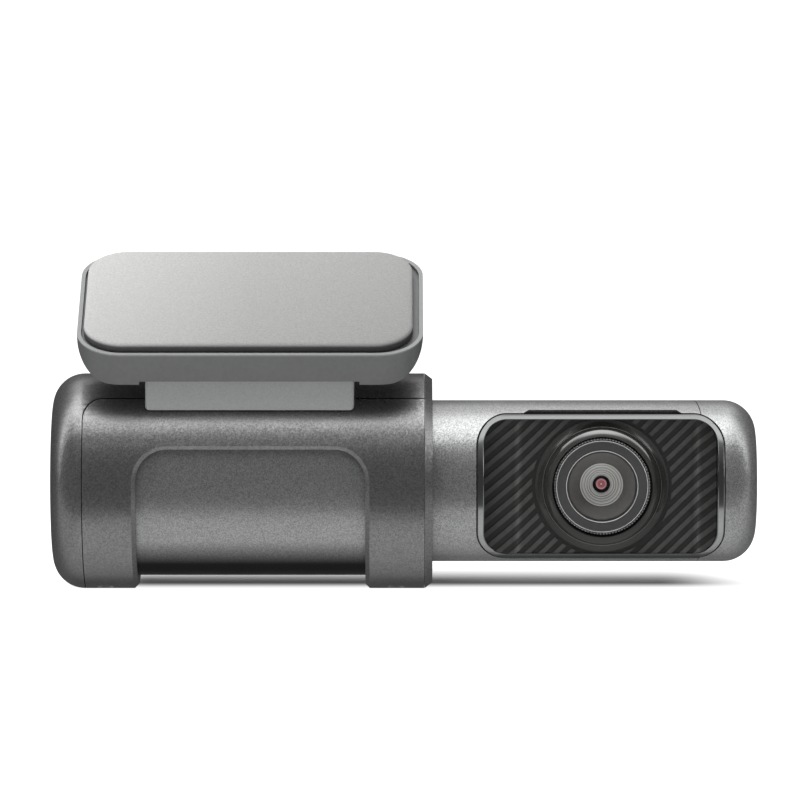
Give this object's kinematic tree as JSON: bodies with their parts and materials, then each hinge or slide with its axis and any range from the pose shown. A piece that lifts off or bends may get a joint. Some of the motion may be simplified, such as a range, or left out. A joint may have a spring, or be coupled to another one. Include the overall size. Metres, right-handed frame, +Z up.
{
  "type": "dash camera",
  "caption": "Barrel dash camera: fixed main barrel hung from a sloping adhesive windscreen plate, with a narrower swivelling lens barrel at one end.",
  "frame": {"origin": "centre of the adhesive face of the windscreen pad", "axes": "+X along the barrels from the main barrel to the lens barrel, lens looks along -Y (road side), +Z up"},
  "size_m": [0.1174, 0.036, 0.056],
  "materials": {
    "gunmetal_shell": "satin fine metallic",
    "mount_grey": "satin",
    "foam_pad": "fine foam",
    "steel_screw": "zinc plated",
    "black_plastic": "moulded",
    "circuit_board": "solder mask",
    "chip_black": "epoxy",
    "shield_tin": "tinned",
    "ceramic": "matt",
    "aluminium_part": "plain",
    "grey_silicone": "soft",
    "capacitor_sleeve": "shrink sleeve",
    "paper_cone": "fibrous",
    "light_guide": "clear, frosted",
    "bezel_metal": "satin anodised",
    "stripe_dark": "dark with lighter ribs",
    "lens_black": "polished black",
    "lens_ring": "satin black",
    "baffle_grey": "stepped, matt",
    "lens_glass": "coated",
    "coated_glass": "red coating",
    "filter_glass": "blue filter",
    "sensor_face": "polished",
    "spring_steel": "spring temper",
    "cable_black": "sheathed"
  },
  "bodies": {
    "mount": {"mount_plate": "mount_grey", "adhesive_pad": "foam_pad", "mount_foot": "mount_grey", "mount_screws": "steel_screw"},
    "main_housing": {"end_cap_spine": "gunmetal_shell", "front_shell": "gunmetal_shell", "rear_shell": "gunmetal_shell", "end_ring": "gunmetal_shell", "slide_rail": "black_plastic", "rail_screws": "steel_screw", "inner_housing": "gunmetal_shell", "shell_screws": "steel_screw", "end_ring_screws": "steel_screw", "speaker": "black_plastic", "speaker_diaphragm": "paper_cone", "main_board": "circuit_board", "board_screws": "steel_screw", "processor": "chip_black", "thermal_pad": "grey_silicone", "heat_spreader": "aluminium_part", "memory_chips": "chip_black", "storage_chip": "chip_black", "wifi_module": "shield_tin", "camera_connector": "black_plastic", "supercapacitors": "capacitor_sleeve", "antenna_bracket": "black_plastic", "satellite_antenna": "ceramic", "usb_c_port": "shield_tin", "button_board": "circuit_board", "button_switches": "shield_tin", "status_lights": "light_guide", "light_pipes": "light_guide", "microphone": "shield_tin", "wave_washer": "spring_steel"},
    "camera_barrel": {"camera_barrel_shell": "gunmetal_shell", "barrel_end_cap": "gunmetal_shell", "pivot_journal": "black_plastic", "journal_screws": "steel_screw", "retaining_clip": "spring_steel", "window_bezel": "bezel_metal", "striped_plate": "stripe_dark", "camera_chassis": "black_plastic", "lens_dome_ring": "lens_black", "knurled_ring": "bezel_metal", "lens_retainer": "lens_ring", "front_element": "lens_glass", "lens_baffle": "baffle_grey", "inner_element": "coated_glass", "lens_barrel": "black_plastic", "rear_element": "lens_glass", "lens_holder": "black_plastic", "infrared_filter": "filter_glass", "image_sensor": "sensor_face", "sensor_board": "circuit_board", "sensor_screws": "steel_screw", "image_cable": "cable_black"},
    "power_button": {"power_button": "mount_grey"},
    "record_button": {"record_button": "mount_grey"},
    "wireless_button": {"wireless_button": "mount_grey"},
    "mute_button": {"mute_button": "mount_grey"}
  },
  "joints": [
    {"name": "mount_slide", "type": "slide", "parent": "mount", "child": "main_housing", "axis": [1, 0, 0], "range_m": [0, 0.036]},
    {"name": "barrel_swivel", "type": "hinge", "parent": "main_housing", "child": "camera_barrel", "pos_m": [0.029, 0.0025, -0.03089], "axis": [1, 0, 0], "range_deg": [-60, 45]},
    {"name": "power_button_press", "type": "slide", "parent": "main_housing", "child": "power_button", "axis": [0, -1, 0], "range_m": [0, 0.0004], "stiffness_N_per_m": 900, "springref_m": -0.0002},
    {"name": "record_button_press", "type": "slide", "parent": "main_housing", "child": "record_button", "axis": [0, -1, 0], "range_m": [0, 0.0004], "stiffness_N_per_m": 900, "springref_m": -0.0002},
    {"name": "wireless_button_press", "type": "slide", "parent": "main_housing", "child": "wireless_button", "axis": [0, -1, 0], "range_m": [0, 0.0004], "stiffness_N_per_m": 900, "springref_m": -0.0002},
    {"name": "mute_button_press", "type": "slide", "parent": "main_housing", "child": "mute_button", "axis": [0, -1, 0], "range_m": [0, 0.0004], "stiffness_N_per_m": 900, "springref_m": -0.0002}
  ]
}
